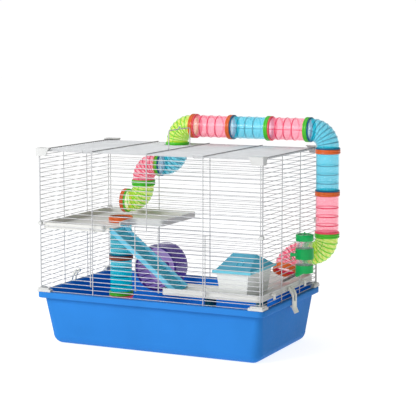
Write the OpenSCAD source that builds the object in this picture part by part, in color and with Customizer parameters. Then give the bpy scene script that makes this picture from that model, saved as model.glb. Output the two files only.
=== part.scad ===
// Two-level wire hamster cage on a deep moulded tray, with a tube run that leaves through the
// top and comes back in through the right wall. +X is the cage's right, +Y its back, +Z up.
// The origin is the middle of the tray's underside.

/* [Cage] */
// Outer width of the tray rim
tray_w = 590; // [584:1:600]
// Outer depth of the tray rim
tray_d = 360; // [356:1:366]
// Height of the tray, floor to rim
tray_h = 130; // [128:0.5:130]
// Height of the rim band
rim_h = 14; // [10:0.5:16]
// Wall thickness of the tray
tray_t = 3; // [2:0.5:4]

/* [Wires] */
// Diameter of the close-set wires
wire_d = 1.6; // [1.4:0.1:1.8]
// Diameter of the frame wires that they are welded to
post_d = 2.2; // [2:0.1:2.4]

/* [Door] */
// Half width of the door opening, to the middle of its side posts
door_half = 143.5; // [120:0.5:150]

/* [Tubes] */
// Outer diameter of the tubes
tube_d = 55; // [52:0.5:56]
// Wall thickness of the tubes
tube_t = 2.5; // [1.5:0.1:3]
// Outer diameter of the coupling rings
ring_d = 60; // [59:0.5:62]
// Width of the coupling rings
ring_w = 14; // [10:0.5:16]

/* [Wheel] */
// Outer diameter of the exercise wheel
wheel_d = 116; // [100:1:118]
// Width of the running band
wheel_w = 64; // [50:1:66]

/* [Handle] */
// Height of the carrying handle above its pivot
bail_h = 46; // [40:1:52]

/* [Hidden] */

WF = 40;                 // facets round a wire
TF = 72;                 // facets round a tube
wr = wire_d/2;
pr = post_d/2;
weld = wr + pr - 0.25;   // axis distance of two crossed, welded wires

px = 287;                // side wire planes at x = +-px
py = 170;                // front and back wire planes at y = +-py
zb = 132;                // lowest wire
pz = 10.5;               // wire spacing up the walls
nz = 32;                 // highest wire index, at z = 468
function zi(i) = zb + pz*i;
zt = 469;                // plane of the top wires
pt = 10.3125;            // spacing of the top wires
zc = zt + weld;          // plane of the top cross wires
hinge_i = 2;             // wall wire that is the door's hinge
catch_i = 16;            // wall wire that the door's catches lie on

// tube run
ty = 108.28;             // plane of the upper run
tr = tube_d/2;
ti = tr - tube_t;
bend = 40;               // bend radius of the elbows
arm = 48;                // elbow centre to coupling centre
pitch = 100;             // coupling to coupling along a straight tube
xa = -59;                // x of the rise through the top
zr = zt + 0.25;          // coupling in the top
zu = zr + arm;           // axis of the run over the top
xv = xa + arm*2 + 3*pitch;      // x of the run down the right side
zs = zu - 2*arm - 2*pitch;      // axis of the way in through the right wall
zd = zr - arm - 2;              // axis of the elbow under the top
xt = xa - 2*arm;                // x of the inner drop
ze = zd - 2*arm;                // axis of the entry on the upper platform
tilt = 57;               // how far the last elbow points down from the front
gap = 0.5;               // tube ends stop short of the middle of a coupling
ring_clear = 0.15;       // coupling bore over the tube

// lower left tube
lx = -153; ly = -15; lz = 293; lp = 92;

hub = [-112, 90, 158.25];       // wheel: centre of its open face
rp = [-110, 286.5];              // ramp pivot, x and z
ra = 38.7;                      // slope of the ramp
y0r = -151; y1r = -83;          // edges of the ramp
bx = 311.6; by = 28;            // bottle axis
sa = 29;                        // slope of the sipper tube
sp = [286, 28, 179.25];         // where the sipper passes the wall

// ---------- small helpers ----------
module bar(a, b, r, f = WF) {   // round wire from a to b
  v = b - a; l = norm(v);
  translate(a) rotate([0, acos(v[2]/l), atan2(v[1], v[0])]) cylinder(h = l, r = r, $fn = f);
}
module xbar(x0, x1, y, z, r) translate([x0, y, z]) rotate([0, 90, 0]) cylinder(h = x1 - x0, r = r, $fn = WF);
module ybar(y0, y1, x, z, r) translate([x, y0, z]) rotate([-90, 0, 0]) cylinder(h = y1 - y0, r = r, $fn = WF);
module zbar(z0, z1, x, y, r) translate([x, y, z0]) cylinder(h = z1 - z0, r = r, $fn = WF);
module torus(R, r, a = 360) rotate_extrude(angle = a, $fn = 64) translate([R, 0]) circle(r = r, $fn = 32);
module block(a, b) translate(a) cube(b - a);
module mirror_x() { children(); mirror([1, 0, 0]) children(); }
module mirror_y() { children(); mirror([0, 1, 0]) children(); }

function unit(v) = v/norm(v);
// a polygon's corners rounded to radius r[i] with n steps
function corner(p, c, q, r, n) = r <= 0 ? [c] :
  let(u = unit(p - c), v = unit(q - c), h = acos(u*v)/2, m = unit(u + v),
      o = c + m*r/sin(h), a = c + u*r/tan(h) - o, b = c + v*r/tan(h) - o,
      s = sign(a[0]*b[1] - a[1]*b[0]), t = acos((a*b)/(r*r)), a0 = atan2(a[1], a[0]))
  [for (k = [0:n]) o + r*[cos(a0 + s*t*k/n), sin(a0 + s*t*k/n)]];
function rounded(P, R, n = 6) = [for (i = [0:len(P) - 1])
  each corner(P[(i + len(P) - 1)%len(P)], P[i], P[(i + 1)%len(P)], R[i], n)];
function rect_pts(w, d, r, n = 8) = rounded([[-w/2, -d/2], [w/2, -d/2], [w/2, d/2], [-w/2, d/2]], [r, r, r, r], n);

// ---------- tray ----------
module tray_solid(w, d, z1, wb, db, z0, rb, rt) hull() {
  translate([0, 0, z1 - 2]) linear_extrude(2) polygon(rect_pts(w, d, rt, 10));
  for (x = [-1, 1], y = [-1, 1]) translate([x*(wb/2 - rb), y*(db/2 - rb), z0 + rb]) sphere(r = rb, $fn = 40);
}
module base_tray() color("royalblue") {
  wo = tray_w - 20; d_o = tray_d - 24;
  difference() {
    union() {
      tray_solid(wo, d_o, tray_h - 2, wo - 20, d_o - 28, 0, 26, 14);
      translate([0, 0, tray_h - rim_h]) linear_extrude(rim_h) polygon(rect_pts(tray_w, tray_d, 16, 8));
    }
    tray_solid(wo - 2*tray_t, d_o - 2*tray_t, tray_h + 3, wo - 20 - 2*tray_t, d_o - 28 - 2*tray_t, tray_t, 24, 12);
    // the rim is a downturned lip, open below
    difference() {
      translate([0, 0, tray_h - rim_h - 1]) linear_extrude(rim_h - 2) polygon(rect_pts(tray_w - 6, tray_d - 6, 13.5, 8));
      translate([0, 0, tray_h - rim_h - 2]) linear_extrude(rim_h) polygon(rect_pts(wo + 1, d_o + 1, 14, 10));
    }
  }
}

// ---------- wire walls ----------
hole_r = 33.5;           // wire ring round a tube hole
module front_wires() color("whitesmoke") {
  for (i = [0:nz]) if (i <= hinge_i || i >= catch_i) xbar(-px + 1, px - 1, -py, zi(i), wr);
    else for (s = [0, 1]) mirror([s, 0, 0]) xbar(door_half - 0.6, px - 1, -py, zi(i), wr);
  for (x = [-284.5, -door_half, door_half, 284.5]) zbar(zb - 1.6, zi(nz) + 0.6, x, -py - weld, pr);
  zbar(zi(catch_i) - 7, zi(nz) + 0.6, 0, -py - weld, pr);
}
module back_wires() color("whitesmoke") {
  for (i = [0:nz]) xbar(-px + 1, px - 1, py, zi(i), wr);
  for (x = [-284.5, -143.5, 0, 143.5, 284.5]) zbar(zb - 1.6, zi(nz) + 0.6, x, py + weld, pr);
}
module side_grid() {
  for (i = [0:nz]) ybar(-py + 1, py - 1, px, zi(i), wr);
  for (y = [-167.5, -56, 56, 167.5]) zbar(zb - 1.6, zi(nz) + 0.6, px + weld, y, pr);
}
module left_wires() color("whitesmoke") mirror([1, 0, 0]) side_grid();
module right_wires() color("whitesmoke") {
  difference() {
    side_grid();
    translate([px - 5, ty, zs]) rotate([0, 90, 0]) cylinder(h = 10, r = hole_r, $fn = TF);
  }
  translate([px, ty, zs]) rotate([0, 90, 0]) torus(hole_r, pr);
}
module top_wires() color("whitesmoke") {
  difference() {
    union() {
      for (j = [0:32]) xbar(-px + 1, px - 1, -165 + pt*j, zt, wr);
      for (x = [-284.5, -143.5, 0, 143.5, 284.5]) ybar(-168, 168, x, zc, pr);
    }
    translate([xa, ty, zt - 5]) cylinder(h = 10, r = hole_r, $fn = TF);
  }
  translate([xa, ty, zt]) torus(hole_r, pr);
}

// ---------- door ----------
loop_r = wr + 0.35 + pr;
module front_door() color("white") {
  yv = -py - loop_r; yh = yv - weld;
  zh = zi(hinge_i); zk = zi(catch_i);
  for (i = [hinge_i + 1:catch_i - 1]) xbar(-151, 151, yh, zi(i), wr);
  for (s = [-1, 1]) {
    zbar(zh, zi(catch_i - 1) + 1.6, s*149, yv, pr);
    zbar(zh, zk, s*30, yv, pr);
    // catch: a quarter turn over the wire
    translate([s*30, -py, zk]) rotate([0, -90, 0]) rotate([0, 0, -90]) torus(loop_r, pr + 0.12, 90);
    for (x = [30, 149]) translate([s*x, -py, zh]) rotate([0, 90, 0]) torus(loop_r, pr + 0.12);
  }
}

// ---------- plastic corner pieces ----------
module cap_one() difference() {
  union() {
    translate([0, -174.3, 0]) rotate([90, 0, 0]) linear_extrude(2.7) polygon([[257, 474.8], [292.6, 474.8], [292.6, 456], [266, 456]]);
    translate([290.2, 0, 0]) rotate([90, 0, 90]) linear_extrude(2.4) polygon([[-177, 474.8], [-151, 474.8], [-158, 456], [-177, 456]]);
    translate([0, 0, 472.4]) linear_extrude(2.4) polygon([[257, -177], [292.6, -177], [292.6, -151], [285, -151], [257, -169]]);
    block([281, -175, 459.6], [292, -164, 466.2]);
  }
  zbar(450, 470, 284.5, -py - weld, pr + 0.15);
  zbar(450, 470, px + weld, -167.5, pr + 0.15);
}
module top_corner_caps() color("white") mirror_x() mirror_y() cap_one();
module clip_one() difference() {
  union() {
    translate([0, 0, 130.2]) linear_extrude(6) polygon([[257, -178], [293, -178], [293, -144], [283.4, -144], [283.4, -166.4], [257, -166.4]]);
    translate([0, 0, 136]) linear_extrude(3.6) polygon([[262, -176.5], [291.6, -176.5], [291.6, -149], [284.4, -149], [284.4, -167.4], [262, -167.4]]);
  }
  xbar(240, 287, -py, zb, wr + 0.15);
  ybar(-170, -130, px, zb, wr + 0.15);
  zbar(129, 150, 284.5, -py - weld, pr + 0.15);
  zbar(129, 150, px + weld, -167.5, pr + 0.15);
}
module bottom_corner_clips() color("white") mirror_x() mirror_y() clip_one();
module corner_ties() color("white") mirror_x() mirror_y() difference() {
  block([281.5, -174.4, 291.6], [291.4, -164.5, 298.2]);
  zbar(280, 310, 284.5, -py - weld, pr + 0.12);
  zbar(280, 310, px + weld, -167.5, pr + 0.12);
}
module top_hooks() color("whitesmoke") for (x = [-143.5, 143.5]) translate([x, -173.8, 0]) {
  bar([4, 0, 475], [-20, 0, 475], 1);
  bar([4, 0, 466], [-20, 0, 466], 1);
  translate([-20, 0, 470.5]) rotate([90, 0, 0]) rotate([0, 0, 90]) torus(4.5, 1, 180);
}

// ---------- side latches ----------
module latch_r() translate([0, 2, 0]) {
  zh = zi(2);
  difference() {
    union() {
      for (y = [-11, 5.6]) {
        translate([px, y, zh]) rotate([-90, 0, 0]) cylinder(h = 5.4, r = 4, $fn = 48);
        translate([0, y + 5.4, 0]) rotate([90, 0, 0]) linear_extrude(5.4)
          polygon([[289, 155.6], [293, 151.5], [297, 145], [299.4, 137], [299.4, 122], [296, 122], [296, 134], [293.4, 141], [289.6, 147], [287.6, 149.8]]);
      }
      translate([0, 11, 0]) rotate([90, 0, 0]) linear_extrude(22)
        polygon([[296, 124], [299.4, 124], [299.4, 109], [305, 97], [302.4, 95.6], [296, 107], [295.2, 110.6], [291.8, 111.6], [291.8, 114.4], [296, 114.4]]);
    }
    translate([px, -20, zh]) rotate([-90, 0, 0]) cylinder(h = 40, r = wr + 0.35, $fn = 48);
  }
}
module right_latch() color("ivory") latch_r();
module left_latch() color("ivory") mirror([1, 0, 0]) latch_r();

// ---------- carrying handle ----------
module carry_handle() color("white") {
  yh = 5.5*pt; rr = 1.35; lw = 1.5; lr = pr + 0.35 + lw;
  for (s = [-1, 1]) {
    translate([0, s*yh, zc]) rotate([90, 0, 0]) torus(lr, lw);
    zbar(zc + lr, zc + bail_h - 6, 0, s*yh, rr);
    translate([0, s*(yh - 6), zc + bail_h - 6]) rotate([90, 0, s > 0 ? 90 : -90]) torus(6, rr, 90);
    bar([0, s*(yh - 6), zc + bail_h], [0, s*8, zc + bail_h], rr);
    bar([0, s*8, zc + bail_h], [0, 0, zc + bail_h + 6], rr);
    translate([0, s*8, zc + bail_h]) sphere(r = lw, $fn = 48);
  }
  translate([0, 0, zc + bail_h + 6]) sphere(r = lw, $fn = 48);
}

// ---------- platforms ----------
function upper_pts(i) = rounded([[-284 + i, -165 + i], [-118 - i, -165 + i], [-118 - i, -34 - i*0.41], [-106 - i*0.41, -22 + i],
  [-35 - i, -22 + i], [-35 - i, 165 - i], [-284 + i, 165 - i]],
  [12 - i, 9 - i, 8 + i, 10 + i, 9 - i, 9 - i, 12 - i]);
function lower_pts(i) = rounded([[33 + i, -163 + i], [282.2 - i, -163 + i], [282.2 - i, 163 - i], [150 + i, 163 - i],
  [150 + i, -80 - i], [33 + i, -80 - i]],
  [9 - i, 12 - i, 12 - i, 9 - i, 8 + i, 9 - i]);
module hook(h, x0 = 282.5) { // over a wall wire at z = h, wall at x = px
  block([x0, -6, h + 1.3], [292.4, 6, h + 5.3]);
  block([290.4, -6, h - 7], [292.4, 6, h + 5.3]);
}
module upper_platform() color("whitesmoke") difference() {
  union() {
    difference() {
      translate([0, 0, 282]) linear_extrude(15) polygon(upper_pts(0));
      translate([0, 0, 285]) linear_extrude(15) polygon(upper_pts(3));
    }
    translate([lx, ly, 282]) cylinder(h = 4, r = 34, $fn = TF);
    for (y = [-105, 105]) translate([0, y, 0]) mirror([1, 0, 0]) hook(zi(15));
    for (x = [-230, -80]) translate([x, -117, 0]) rotate([0, 0, 90]) hook(zi(15), 280.5);
  }
  translate([lx, ly, 275]) cylinder(h = 20, r = tr + 0.4, $fn = TF);
  block([-124, y0r - 2, 286.2], [-113, y1r + 2, 300]);   // way on to the ramp
}
module lower_platform() color("whitesmoke") {
  difference() {
    translate([0, 0, 146]) linear_extrude(15) polygon(lower_pts(0));
    translate([0, 0, 149]) linear_extrude(15) polygon(lower_pts(3));
  }
  for (y = [-105, 85]) translate([0, y, 0]) hook(zi(2), 280.5);
  for (x = [190, 255]) translate([x, -117, 0]) rotate([0, 0, 90]) hook(zi(2), 278.5);
}
module platform_legs() color("teal") for (p = [[127, -96], [176, 92]]) translate([p[0], p[1], 0]) {
  translate([0, 0, 3.2]) cylinder(h = 142.6, r = 14, $fn = 64);
  translate([0, 0, 3.2]) cylinder(h = 4, r = 20, $fn = 64);
  translate([0, 0, 141.8]) cylinder(h = 4, r = 20, $fn = 64);
}

// ---------- ramp ----------
module ramp() color("skyblue") translate([rp[0], 0, rp[1]]) rotate([0, ra, 0]) {
  w = y1r - y0r;
  for (y = [y0r, y1r - 4]) block([3.2, y, -3], [215, y + 4, 8]);
  block([6, y0r, -3], [215, y1r, -0.6]);
  for (k = [0:16]) block([14 + 12*k, y0r + 2, -1], [16.4 + 12*k, y1r - 2, 1.6]);
  difference() {
    for (y = [y0r, y1r - 8]) {
      translate([0, y, 0]) rotate([-90, 0, 0]) cylinder(h = 8, r = 4, $fn = 48);
      block([0, y, -3], [8, y + 8, 3]);
    }
    translate([0, y0r - 1, 0]) rotate([-90, 0, 0]) cylinder(h = w + 2, r = 2.08, $fn = 48);
  }
}
module ramp_hanger() color("whitesmoke") {
  block([-117.8, y0r - 5, 282.2], [-115, y1r + 5, 286]);
  for (y = [y0r - 4.6, y1r + 0.6]) {
    translate([rp[0], y, rp[1]]) rotate([-90, 0, 0]) cylinder(h = 4, r = 4, $fn = 48);
    block([-116, y, 282.6], [rp[0], y + 4, 286]);
  }
  translate([rp[0], y0r - 4, rp[1]]) rotate([-90, 0, 0]) cylinder(h = y1r - y0r + 8, r = 2, $fn = 48);
}

// ---------- tubes ----------
module pipe(h, ro = tr, ri = ti) difference() {
  cylinder(h = h, r = ro, $fn = TF);
  translate([0, 0, -1]) cylinder(h = h + 2, r = ri, $fn = TF);
}
module coupling() translate([0, 0, -ring_w/2]) difference() {
  cylinder(h = ring_w, r = ring_d/2, $fn = TF);
  translate([0, 0, -1]) cylinder(h = ring_w + 2, r = tr + ring_clear, $fn = TF);
}
module along(o, d) {     // turns local z to d, at o
  x = abs(d[1]) < 0.9 ? unit(cross([0, 1, 0], d)) : [1, 0, 0];
  y = cross(d, x);
  multmatrix([[x[0], y[0], d[0], o[0]], [x[1], y[1], d[1], o[1]], [x[2], y[2], d[2], o[2]], [0, 0, 0, 1]]) children();
}
// quarter bend with its centre lines meeting at the origin, arms along -y and -x
module bent(a1, a2) difference() {
  union() {
    translate([-bend, -bend, 0]) rotate_extrude(angle = 90, $fn = TF) translate([bend, 0]) circle(r = tr, $fn = TF);
    translate([0, -bend, 0]) rotate([90, 0, 0]) cylinder(h = a1 - bend, r = tr, $fn = TF);
    translate([-bend, 0, 0]) rotate([0, -90, 0]) cylinder(h = a2 - bend, r = tr, $fn = TF);
  }
  translate([-bend, -bend, 0]) rotate_extrude(angle = 90, $fn = TF) translate([bend, 0]) circle(r = ti, $fn = TF);
  translate([0, -bend, 0]) rotate([90, 0, 0]) cylinder(h = a1 - bend + 1, r = ti, $fn = TF);
  translate([-bend, 0, 0]) rotate([0, -90, 0]) cylinder(h = a2 - bend + 1, r = ti, $fn = TF);
}
module elbow(o, d1, d2, a1 = arm - gap, a2 = arm - gap) {
  x = -d2; y = -d1; z = cross(x, y);
  multmatrix([[x[0], y[0], z[0], o[0]], [x[1], y[1], z[1], o[1]], [x[2], y[2], z[2], o[2]], [0, 0, 0, 1]]) bent(a1, a2);
}
X = [1, 0, 0]; Y = [0, 1, 0]; Z = [0, 0, 1];
module left_tube_upper() color("turquoise") translate([lx, ly, lz - lp + gap]) pipe(lp - gap + 3);
module left_tube_lower() color("turquoise") translate([lx, ly, lz - 2*lp + gap]) pipe(lp - 2*gap);
module floor_elbow() color("pink") elbow([lx, ly, lz - 2*lp - arm], Z, X);
module floor_ring() color("orangered") along([lx + arm, ly, lz - 2*lp - arm], X) coupling();
module deck_ring() color("orangered") translate([lx, ly, lz + 0.4]) coupling();
module entry_elbow() color("yellowgreen") elbow([xt, ty, ze], Z, -X);
module entry_ring() color("orangered") along([xt - arm, ty, ze], X) coupling();
module turn_elbow() color("pink") elbow([xt, ty, zd], X, -Z);
module drop_elbow() color("turquoise") elbow([xa, ty, zd], Z, -X, zr - zd - gap);
module rise_elbow() color("yellowgreen") elbow([xa, ty, zu], -Z, X);
module top_tube(k) along([xa + arm + pitch*k + gap, ty, zu], X) pipe(pitch - 2*gap);
module top_tube_a() color("pink") top_tube(0);
module top_tube_b() color("turquoise") top_tube(1);
module top_tube_c() color("pink") top_tube(2);
module corner_elbow() color("turquoise") elbow([xv, ty, zu], -X, -Z);
module side_tube(k) translate([xv, ty, zu - arm - pitch*(k + 1) + gap]) pipe(pitch - 2*gap);
module side_tube_a() color("turquoise") side_tube(0);
module side_tube_b() color("pink") side_tube(1);
module side_elbow() color("yellowgreen") elbow([xv, ty, zs], Z, -X);
dx = [0, -cos(tilt), -sin(tilt)];
xe = xv - 2*arm;
module exit_elbow() color("pink") elbow([xe, ty, zs], X, dx);
module exit_ring() color("orangered") along([xe, ty, zs] + arm*dx, dx) coupling();
module orange_couplings() color("orangered") {
  for (k = [0, 1]) along([xa + arm + pitch*k, ty, zu], X) coupling();
  for (k = [0, 1]) translate([xv, ty, zu - arm - pitch*k]) coupling();
  translate([lx, ly, lz - lp]) coupling();
}
module green_couplings() color("limegreen") {
  translate([xa, ty, zr]) coupling();
  along([xa - arm, ty, zd], X) coupling();
  translate([xt, ty, zd - arm]) coupling();
  for (k = [2, 3]) along([xa + arm + pitch*k, ty, zu], X) coupling();
  translate([xv, ty, zu - arm - 2*pitch]) coupling();
  along([xv - arm, ty, zs], X) coupling();
  translate([lx, ly, lz - 2*lp]) coupling();
}

// ---------- wheel ----------
module exercise_wheel() color("rebeccapurple") translate(hub) rotate([-90, 0, 0]) {
  r = wheel_d/2; t = 2.2;
  difference() {
    union() {
      difference() {
        cylinder(h = wheel_w, r = r, $fn = 96);
        translate([0, 0, -1]) cylinder(h = wheel_w - t + 1, r = r - t, $fn = 96);
      }
      difference() {
        cylinder(h = 2.4, r = r, $fn = 96);
        translate([0, 0, -1]) cylinder(h = 5, r = r - 6, $fn = 96);
      }
      translate([0, 0, wheel_w - 22]) cylinder(h = 22, r = 7, $fn = 48);
      for (a = [0:15:345]) rotate([0, 0, a]) block([r - t - 1.6, -1, 2], [r - t + 0.6, 1, wheel_w - t + 0.5]);
    }
    translate([0, 0, -1]) cylinder(h = wheel_w + 2, r = 3.06, $fn = 48);
  }
}
module wheel_axle() color("silver") translate([hub[0], 0, hub[2]]) rotate([-90, 0, 0]) {
  translate([0, 0, hub[1] + wheel_w - 25.5]) cylinder(h = 181 - hub[1] - wheel_w + 25.5, r = 3, $fn = 48);
  translate([0, 0, hub[1] + wheel_w - 26]) cylinder(h = 3.5, r = 5.5, $fn = 48);
}
module wheel_clamp() color("purple") translate([hub[0], 0, hub[2]]) rotate([-90, 0, 0]) difference() {
  union() {
    translate([0, 0, 158]) cylinder(h = 6, r = 8, $fn = 48);
    translate([0, 0, 164]) cylinder(h = 4.9, r = 19, $fn = 64);
    translate([0, 0, 173.1]) cylinder(h = 3.4, r = 17, $fn = 64);
    translate([0, 0, 176.5]) cylinder(h = 6, r = 8, $fn = 6);
  }
  translate([0, 0, 150]) cylinder(h = 60, r = 3.05, $fn = 48);
}

// ---------- house ----------
module frustum(x0, x1, y0, y1, z0, i0, z1, i1) hull() {
  block([x0 + i0, y0 + i0, z0], [x1 - i0, y1 - i0, z0 + 0.5]);
  block([x0 + i1, y0 + i1, z1 - 0.5], [x1 - i1, y1 - i1, z1]);
}
module house_body() color("gainsboro") difference() {
  frustum(167, 246, -150, -14, 149.3, 7, 206, 0);
  frustum(169, 244, -148, -16, 151.3, 7, 207, 0);
  translate([160, -84, 151.3]) rotate([0, 90, 0]) cylinder(h = 22, r = 21, $fn = 64);
  block([160, -105, 145], [182, -63, 151.3]);
}
module house_roof() color("cadetblue") difference() {
  union() {
    block([160, -158, 206.3], [255, -6, 212]);
    hull() { block([165, -153, 211.5], [250, -11, 212]); block([178, -84, 240.5], [237, -80, 241.5]); }
  }
  block([163, -155, 205], [252, -9, 209.5]);
  hull() { block([168, -150, 209], [247, -14, 209.6]); block([181, -84, 237.5], [234, -80, 238.5]); }
}

// ---------- water bottle ----------
module bottle_body() color("lightcyan") translate([bx, by, 0]) difference() {
  translate([0, 0, 192]) cylinder(h = 83, r = 19.6, $fn = TF);
  translate([0, 0, 193.6]) cylinder(h = 90, r = 18.2, $fn = TF);
  translate([0, 0, 190]) cylinder(h = 6, r = 6, $fn = 48);
}
module bottle_cap() color("mediumseagreen") translate([bx, by, 0]) {
  difference() {
    translate([0, 0, 264]) cylinder(h = 15, r = 21, $fn = TF);
    translate([0, 0, 260]) cylinder(h = 16, r = 19.95, $fn = TF);
  }
  translate([0, 0, 278.5]) cylinder(h = 6, r = 2, $fn = 32);
}
module sip(h0, h1, r) translate(sp) rotate([0, 90 + sa, 180]) translate([0, 0, h0]) cylinder(h = h1 - h0, r = r, $fn = 48);
module bottle_base() color("mediumseagreen") difference() {
  union() {
    translate([bx, by, 188.6]) cylinder(h = 18, r = 21, $fn = TF);
    intersection() {
      sip(-26, -5.5, 6.4);
      block([291.4, 0, 170], [330, 60, 200]);
    }
  }
  translate([bx, by, 191.7]) cylinder(h = 20, r = 19.8, $fn = TF);
  sip(-40, 10, 3.3);
}
module sipper_tube() color("silver") difference() {
  sip(-20, 31, 3.2);
  sip(-21, 29.4, 2.5);
  sip(28, 32, 1.9);
}
module sipper_ball() color("silver") translate(sp) rotate([0, 90 + sa, 180]) translate([0, 0, 27]) sphere(r = 2.4, $fn = 40);
module bottle_holder() color("seagreen") {
  difference() {
    translate([bx, by, 221]) cylinder(h = 25, r = 21.6, $fn = TF);
    translate([bx, by, 215]) cylinder(h = 40, r = 19.8, $fn = TF);
    block([290, 0, 228], [300, 15, 240]);
  }
  for (y = [by - 19, by + 16]) {
    block([284, y, 228.2], [bx - 11, y + 3, 235.6]);
    block([283.2, y, 219], [285.8, y + 3, 235.6]);
  }
}

base_tray();
front_wires();
back_wires();
left_wires();
right_wires();
top_wires();
front_door();
top_corner_caps();
bottom_corner_clips();
corner_ties();
top_hooks();
left_latch();
right_latch();
carry_handle();
upper_platform();
lower_platform();
platform_legs();
ramp();
ramp_hanger();
deck_ring();
left_tube_upper();
left_tube_lower();
floor_elbow();
floor_ring();
entry_ring();
entry_elbow();
turn_elbow();
drop_elbow();
rise_elbow();
top_tube_a();
top_tube_b();
top_tube_c();
corner_elbow();
side_tube_a();
side_tube_b();
side_elbow();
exit_elbow();
exit_ring();
orange_couplings();
green_couplings();
exercise_wheel();
wheel_axle();
wheel_clamp();
house_body();
house_roof();
bottle_body();
bottle_cap();
bottle_base();
bottle_holder();
sipper_tube();
sipper_ball();
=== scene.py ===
import math

import bmesh
import bpy
from mathutils import Matrix, Vector


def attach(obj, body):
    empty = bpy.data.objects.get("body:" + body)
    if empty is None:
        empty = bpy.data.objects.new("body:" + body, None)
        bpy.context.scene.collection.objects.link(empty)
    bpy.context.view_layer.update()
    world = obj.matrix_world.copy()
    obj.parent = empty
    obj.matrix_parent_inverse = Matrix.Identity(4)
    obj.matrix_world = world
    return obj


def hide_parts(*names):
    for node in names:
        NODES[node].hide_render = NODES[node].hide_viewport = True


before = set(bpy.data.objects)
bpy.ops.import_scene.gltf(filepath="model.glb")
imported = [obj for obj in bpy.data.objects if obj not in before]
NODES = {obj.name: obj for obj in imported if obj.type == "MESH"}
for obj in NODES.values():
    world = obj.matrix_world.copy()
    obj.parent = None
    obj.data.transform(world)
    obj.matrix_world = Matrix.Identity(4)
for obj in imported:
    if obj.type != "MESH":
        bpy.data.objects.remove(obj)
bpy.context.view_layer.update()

MM = 0.001
scene = bpy.context.scene

# ------------------------------------------------------------------ camera, light, floor
cam_data = bpy.data.cameras.new("camera")
cam_data.sensor_width = 36.0
cam_data.lens = 36.0 * 1425.3 / 416.0
cam_data.clip_start, cam_data.clip_end = 0.05, 60.0
cam = bpy.data.objects.new("camera", cam_data)
cam.location = (1.5111, -3.0449, 0.7615)
cam.rotation_euler = (math.radians(90) - 0.1272, 0.0, 0.4406)
scene.collection.objects.link(cam)
scene.camera = cam
scene.view_settings.view_transform = "Standard"


def area(name, at, to, size, power, color=(1, 1, 1)):
    data = bpy.data.lights.new(name, "AREA")
    data.shape = "RECTANGLE"
    data.size, data.size_y = size
    data.energy = power
    data.color = color
    o = bpy.data.objects.new(name, data)
    o.location = at
    o.rotation_mode = "QUATERNION"
    o.rotation_quaternion = (Vector(to) - Vector(at)).to_track_quat("-Z", "Y")
    scene.collection.objects.link(o)
    return o


area("key", (-1.3, -2.8, 1.7), (0, 0, 0.25), (1.4, 1.4), 78)
area("over", (-0.2, -0.1, 2.9), (0, 0, 0), (2.4, 2.4), 12)

world = bpy.data.worlds.new("studio")
scene.world = world
world.use_nodes = True
nt = world.node_tree
nt.nodes.clear()
WN, WL = nt.nodes.new, nt.links.new
out = WN("ShaderNodeOutputWorld")
bg = WN("ShaderNodeBackground")
tc = WN("ShaderNodeTexCoord")
# a white sweep behind the cage, and a dimmer room that is a little brighter overhead and to the left
sweep = WN("ShaderNodeVectorMath")
sweep.operation = "DOT_PRODUCT"
sweep.inputs[1].default_value = (-0.4234, 0.9059, 0.0)
WL(tc.outputs["Generated"], sweep.inputs[0])
near_sweep = WN("ShaderNodeMapRange")
near_sweep.inputs["From Min"].default_value = 0.84
near_sweep.inputs["From Max"].default_value = 0.94
WL(sweep.outputs["Value"], near_sweep.inputs["Value"])
room = WN("ShaderNodeVectorMath")
room.operation = "DOT_PRODUCT"
room.inputs[1].default_value = (-0.17, -0.07, 0.24)
WL(tc.outputs["Generated"], room.inputs[0])
level = WN("ShaderNodeMath")
level.operation = "ADD"
level.inputs[1].default_value = 0.27
WL(room.outputs["Value"], level.inputs[0])
both = WN("ShaderNodeMix")
both.data_type = "RGBA"
WL(near_sweep.outputs[0], both.inputs["Factor"])
WL(level.outputs[0], both.inputs["A"])
both.inputs["B"].default_value = (1.02, 1.02, 1.02, 1)
WL(both.outputs["Result"], bg.inputs["Color"])
bg.inputs["Strength"].default_value = 1.0
WL(bg.outputs[0], out.inputs["Surface"])


# ------------------------------------------------------------------ materials
def lin(r, g, b):
    def f(x):
        x /= 255.0
        return x / 12.92 if x <= 0.04045 else ((x + 0.055) / 1.055) ** 2.4

    return (f(r), f(g), f(b))


def shaded(c, k):
    return tuple(min(1.0, x * k) for x in c)


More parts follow.
